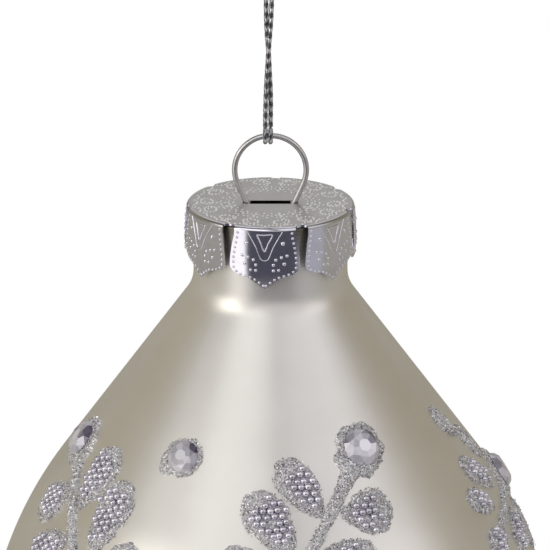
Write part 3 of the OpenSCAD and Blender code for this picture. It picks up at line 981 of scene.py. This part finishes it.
def leaf_crust(shape, sprig, leaf, rng):
    across_u, across_v = int(leaf[3] / GLITTER_GRID), int(leaf[4] / GLITTER_GRID)
    x, y = disc_grid(across_u, across_v)
    share = y / np.sqrt(np.maximum(1 - x * x, 1e-4))
    wave = 1 + 0.05 * np.sin(7 * np.arctan2(y, x) + leaf[0])
    along = x * leaf[3] / 2 * wave
    across = np.clip(share, -1, 1) * leaf_half_w(leaf, np.clip(x, -1, 1)) * wave
    edge = np.clip(1 - np.hypot(x, y), 0, 1)
    height = 0.85 * GLUE_T * (0.35 + 0.65 * np.clip(edge * 4, 0, 1) ** 0.5)
    azimuth, d = place_on_leaf(sprig, leaf, along, across)
    crust(shape, azimuth, d, height, rng)

    def flake(f, across, lift, size):
        azimuth, d = place_on_leaf(sprig, leaf, f * leaf[3] / 2, across)
        chip(shape, azimuth, d, lift, size, rng)

    for _ in range(int(leaf[3] * leaf[4] * 2)):
        f = rng.uniform(-0.9, 0.95)
        across = rng.uniform(-0.97, 0.97) * float(leaf_half_w(leaf, f))
        flake(f, across, GLUE_T + rng.uniform(-0.1, 0.1), rng.uniform(0.07, 0.13))
    for _ in range(int((leaf[3] + leaf[4]) * 7)):
        a = rng.uniform(0, 2 * math.pi)
        f = 0.98 * math.cos(a)
        across = math.copysign(float(leaf_half_w(leaf, f)), math.sin(a)) + rng.uniform(-0.25, 0.12)
        flake(f, across, rng.uniform(0.08, 0.3), rng.uniform(0.06, 0.12))


def make_leaves(name, sprig, look):
    rng = random.Random(name + "_leaves")
    shape = Shape()
    for leaf in sprig[4]:
        leaf_crust(shape, sprig, leaf, rng)
    hand_over(shape.make(name + "_leaf_glitter", look), name + "_leaf_glue")


def make_stem(name, sprig, look):
    """The drawn line of glue: wide where it leaves the stone, narrow at its end."""
    rng = random.Random(name + "_stem")
    overlap, bow = 0.6, 0.35
    length = sprig[5] - STEM_START + overlap
    u, v = np.meshgrid(np.linspace(0, 1, int(length / GLITTER_GRID)), np.linspace(-1, 1, 13),
                       indexing="ij")
    along = STEM_START - overlap + length * u
    ragged = np.array([1 + 0.28 * noise.noise(Vector((a * 0.9, sprig[0], 0))) for a in along[:, 0]])
    half = (0.95 + 1.05 * np.exp(-u * 11)) * (1 - 0.25 * u) * ragged[:, None]
    across = v * half - bow * np.sin(math.pi * along / sprig[5])
    azimuth, d = place(sprig, along, across)
    height = STEM_CREST * np.sqrt(np.clip(1 - v * v, 0, 1)) * np.clip(np.minimum(u, 1 - u) * 30, 0, 1)
    shape = Shape()
    crust(shape, azimuth, d, height, rng)
    for _ in range(int(length * 12)):
        a = STEM_START + rng.random() * (length - 1)
        aside = rng.uniform(-1, 1)
        azimuth, d = place(sprig, a, aside - bow * math.sin(math.pi * a / sprig[5]))
        lift = STEM_CREST * math.sqrt(1 - 0.9 * aside * aside) + rng.uniform(-0.12, 0.04)
        chip(shape, azimuth, d, lift, rng.uniform(0.06, 0.13), rng)
    hand_over(shape.make(name + "_stem_glitter", look), name + "_stem")


def bed(shape, where, radius, towards, stretch, rng):
    """Glue round a stone, longer on the side it was pulled towards."""
    count = int(2 * radius / GLITTER_GRID)
    x, y = disc_grid(count, count)
    angle = np.arctan2(y, x)
    wave = 1 + 0.06 * np.sin(5 * angle + where[0]) + 0.04 * np.sin(9 * angle)
    pull = 1 + stretch * np.maximum(0, np.cos(angle - math.radians(towards))) ** 3
    right, down = radius * x * wave * pull, radius * y * wave * pull
    d = where[1] + down
    azimuth = where[0] + np.degrees(right / outline.at(d)[0])
    edge = np.clip(1 - np.hypot(x, y), 0, 1)
    height = BED_CREST * (0.3 + 0.7 * np.clip(edge * 4, 0, 1) ** 0.5)
    crust(shape, azimuth, d, height, rng)
    for _ in range(int(60 * radius)):
        a = rng.uniform(0, 2 * math.pi)
        r = radius * rng.uniform(0.74, 1.03)
        d = where[1] + r * math.sin(a)
        azimuth = where[0] + math.degrees(r * math.cos(a) / float(outline.at(d)[0]))
        lift = BED_CREST + 0.06 - 0.4 * max(0, r / radius - 0.85) / 0.18 + rng.uniform(-0.1, 0.1)
        chip(shape, azimuth, d, lift, rng.uniform(0.06, 0.13), rng)


def sphere(shape, middle, radius, tone):
    """A small bead."""
    rings, sides = 7, 14
    points = [middle + (0, 0, radius)]
    for j in range(1, rings + 1):
        a = math.pi * j / (rings + 1)
        for i in range(sides):
            b = 2 * math.pi * i / sides
            way = (math.sin(a) * math.cos(b), math.sin(a) * math.sin(b), math.cos(a))
            points.append(middle + radius * np.array(way))
    points.append(middle - (0, 0, radius))
    faces = ring_faces(rings, sides)
    shape.add(points, faces, [tone] * len(faces))


def make_beads(name, sprig, look):
    """Beads in near rows, set to one side of a leaf, with plain glitter at its outer end."""
    rng = random.Random(name + "_beads")
    row = BEAD_PITCH * math.sin(math.radians(60))
    last_f, wander = 0.7, 0.12
    shape = Shape()
    for leaf in sprig[4]:
        if leaf in BARE_LEAVES:
            continue
        rows, span = int(leaf[4] / 2 / row), math.ceil(leaf[3] / 2 / BEAD_PITCH)
        for j in range(-rows, rows + 1):
            for i in range(-span, span + 1):
                along = (i + (0 if j % 2 == 0 else 0.5)) * BEAD_PITCH
                f = along / (leaf[3] / 2 - BEAD_INSET)
                inset = BEAD_INSET + (-0.4 if j > 0 else 0.2)
                if abs(f) >= 1 or abs(j * row) >= float(leaf_half_w(leaf, f)) - inset:
                    continue
                if f > last_f + rng.uniform(-0.15, 0.15) or rng.random() < 0.05:
                    continue
                radius = BEAD_D / 2 * rng.choice((1.1, 1.14, 1.18))
                azimuth, d = place_on_leaf(sprig, leaf, along + rng.uniform(-wander, wander),
                                           j * row + rng.uniform(-wander, wander))
                middle = outline.on(azimuth, d, BEAD_D / 2 + rng.uniform(0.1, 0.24))
                sphere(shape, middle, radius, rng.uniform(0, 1))
    hand_over(shape.make(name + "_bead_scatter", look, smooth=True), name + "_beads")


def brilliant(shape, where, size, dark_reflection_depth, rng):
    """A low brilliant on a flat back: a wide table with a pale heart painted on as a highlight, and a thin
    ring of facets whose tones are painted reflections.
    """
    centre = Vector(outline.on(where[0], where[1], SEAT_H))
    slope = float(outline.at(where[1])[2])
    a = math.radians(where[0])
    out = Vector((math.cos(slope) * math.sin(a), -math.cos(slope) * math.cos(a), math.sin(slope)))
    right = Vector((math.cos(a), math.sin(a), 0))
    up = out.cross(right)
    heart_r, table_r, star_r, girdle_r, back_r = 0.17, 0.33, 0.42, 0.5, 0.475
    table_h, star_h, girdle_h = 0.25, 0.19, 0.07
    # Directions, in degrees, of the painted dark reflection and the painted grey patch.
    dark_at, patch_at = 40, 145

    def point(angle, radius, height):
        b = math.radians(angle)
        return centre + size * (radius * (math.cos(b) * right + math.sin(b) * up) + height * out)

    def shade(angle, lift):
        """Painted reflections: dark violet facets towards the upper right, and a grey patch across from
        them.
        """
        dark = max(0, math.cos(math.radians(angle - dark_at))) ** 4
        patch = max(0, math.cos(math.radians(angle - patch_at))) ** 12
        return min(1, max(0, lift - dark_reflection_depth * dark - 0.25 * patch + rng.uniform(-0.08, 0.08)))

    points, faces, tones = [], [], []

    def facet(corners, tone):
        base = len(points)
        points.extend(corners)
        faces.append(tuple(range(base, base + len(corners))))
        tones.append(tone)

    for k in range(8):
        b = 45 * k
        t0, t1 = point(b, table_r, table_h), point(b + 45, table_r, table_h)
        i0, i1 = point(b, heart_r, table_h), point(b + 45, heart_r, table_h)
        star0, star1 = point(b - 22.5, star_r, star_h), point(b + 22.5, star_r, star_h)
        g0, g1, g2 = [point(b + turn, girdle_r, girdle_h) for turn in (0, 22.5, 45)]
        # The heart's full tone is a painted highlight.
        facet([point(0, 0, table_h), i0, i1], 1.0)
        facet([i0, t0, t1, i1], shade(b + 22.5, 0.8 + 0.12 * math.cos(math.radians(b - 340))))
        facet([t0, star1, t1], shade(b + 22.5, 0.85))
        facet([t0, star0, g0, star1], shade(b, 0.75))
        facet([star1, g0, g1], shade(b + 11, 0.65))
        facet([star1, g1, g2], shade(b + 34, 0.65))
        for low, high, g_low, g_high in ((b, b + 22.5, g0, g1), (b + 22.5, b + 45, g1, g2)):
            foot_low, foot_high = point(low, back_r, 0), point(high, back_r, 0)
            facet([g_low, foot_low, foot_high, g_high], 0.4)
            facet([point(0, 0, 0), foot_high, foot_low], 0.4)
    shape.add(points, faces, tones)


def make_stones(name, sprig, glitter, gem):
    rng = random.Random(name + "_stone")
    stone = Shape()
    # The painted dark reflection goes deeper on the front right stone.
    brilliant(stone, (sprig[0], sprig[1]), STONE_D, 0.6 if name == "front_right" else 0.45, rng)
    hand_over(stone.make(name + "_gem", gem), name + "_stone")
    glue = Shape()
    bed(glue, (sprig[0], sprig[1]), STONE_BED_R, sprig[2], 0.3, rng)
    hand_over(glue.make(name + "_gem_bed", glitter), name + "_stone_glue")


def make_lone_stones(glitter, gem):
    rng = random.Random(77)
    stones, glue = Shape(), Shape()
    for where in LONE_PLACES:
        brilliant(stones, where, LONE_STONE_D, 0.45, rng)
        bed(glue, where, LONE_BED_R, 150, 0.4, rng)
    hand_over(stones.make("lone_gems", gem), "lone_stones")
    hand_over(glue.make("lone_gem_beds", glitter), "lone_stone_glue")


# ---- stage and light
def add_floor():
    """A round pale floor, below the tip at its lowest: the glass can hang 30 mm lower, pulled off."""
    bpy.ops.mesh.primitive_circle_add(vertices=96, radius=FLOOR_R * MM, fill_type="NGON",
                                      location=(0, 0, cad_low.z - FLOOR_GAP * MM))
    floor = bpy.context.object
    floor.name = "floor"
    floor.data.materials.append(floor_look())


def add_area(name, azimuth, elevation, distance, size, power, colour):
    data = bpy.data.lights.new(name, "AREA")
    data.size = size
    data.energy = power
    data.color = colour
    a, e = math.radians(azimuth), math.radians(elevation)
    out = Vector((math.sin(a) * math.cos(e), -math.cos(a) * math.cos(e), math.sin(e)))
    light = stand(name, data, Vector((0, 0, -0.1)) + out * distance, -out)
    light.visible_camera = False


def maths(tree, operation, first, second):
    node = add_node(tree, "ShaderNodeMath", operation=operation)
    feed(tree, first, node.inputs[0])
    feed(tree, second, node.inputs[1])
    return node.outputs["Value"]


def band(tree, value, low, high, soft):
    """1 where a value lies between low and high, with soft sides."""
    rise, fall = [
        add_node(tree, "ShaderNodeMapRange", interpolation_type="SMOOTHSTEP", Value=value,
                 From_Min=edge - soft, From_Max=edge + soft, To_Min=start, To_Max=1 - start)
        for edge, start in ((low, 0.0), (high, 1.0))]
    return maths(tree, "MULTIPLY", rise.outputs["Result"], fall.outputs["Result"])


def add_world():
    """A pale studio: white to the lens, and to everything else a room of soft panels."""
    world = bpy.data.worlds.new("studio")
    bpy.context.scene.world = world
    world.use_nodes = True
    tree = world.node_tree
    where = tree.nodes.new("ShaderNodeTexCoord").outputs["Generated"]
    axes = add_node(tree, "ShaderNodeSeparateXYZ", Vector=where).outputs
    azimuth = maths(tree, "ARCTAN2", axes["X"], maths(tree, "MULTIPLY", axes["Y"], -1))
    height = axes["Z"]
    up = add_node(tree, "ShaderNodeMapRange", Value=height, From_Min=-1.0, From_Max=1.0)
    room = ramp(tree, up.outputs["Result"], [
        (0.0, (0.22, 0.21, 0.2)), (0.3, (0.37, 0.35, 0.3)), (0.53, (0.37, 0.35, 0.3)),
        (0.57, (0.43, 0.42, 0.4)), (0.74, (0.43, 0.42, 0.4)), (0.8, (0.16, 0.16, 0.16)),
        (1.0, (0.16, 0.16, 0.16))])
    low, middle, high = (-0.55, 0.1), (0.1, 0.55), (0.55, 1.1)
    # A panel is (colour, azimuths in degrees, heights, softness in degrees); later ones lie on top
    for colour, azimuths, heights, soft in (
            ((0.32, 0.28, 0.18), (72, 140), middle, 3), ((0.32, 0.28, 0.18), (-140, -85), middle, 3),
            ((0.68, 0.65, 0.65), (-85, 85), middle, 3), ((0.86, 0.86, 0.89), (15, 75), high, 3),
            ((1.25, 1.22, 1.2), (-62, -32), low, 3), ((0.08, 0.08, 0.1), (-32, 38), low, 5),
            ((0.42, 0.42, 0.44), (38, 75), low, 5)):
        sides = band(tree, azimuth, *[math.radians(a) for a in (*azimuths, soft)])
        tall = band(tree, height, *heights, soft / 60)
        room = mixed(tree, maths(tree, "MULTIPLY", sides, tall), room, (*colour, 1))
    lens = tree.nodes.new("ShaderNodeLightPath").outputs["Is Camera Ray"]
    tree.links.new(mixed(tree, lens, room, (1, 1, 1, 1)), tree.nodes["Background"].inputs["Color"])


def main():
    add_camera()
    lurex = lurex_look()
    make_strand("strand_left", STRAND_LEFT, lurex)
    make_strand("strand_right", STRAND_RIGHT, lurex)
    make_knot(lurex)
    make_hitch(lurex)
    make_ring_clip(wire_look())
    make_cap(cap_look())
    make_glass(pearl_look())
    glitter, gem, bead = glitter_look(), stone_look(), bead_look()
    for name, sprig in SPRIGS.items():
        make_stem(name, sprig, glitter)
        make_leaves(name, sprig, glitter)
        make_beads(name, sprig, bead)
        make_stones(name, sprig, glitter, gem)
    make_lone_stones(glitter, gem)
    add_floor()
    for light in (("key", -28, 48, 0.7, 0.45, 0.68, (1, 1, 1)),
                  ("left", -60, 20, 0.8, 0.4, 1.03, (1, 0.98, 0.9)),
                  ("fill", 70, 30, 0.9, 0.5, 0.42, (1, 0.98, 1)),
                  ("back", 180, 45, 0.9, 0.5, 0.7, (1, 1, 1))):
        add_area(*light)
    add_world()
    bpy.context.scene.view_settings.view_transform = "Standard"


main()
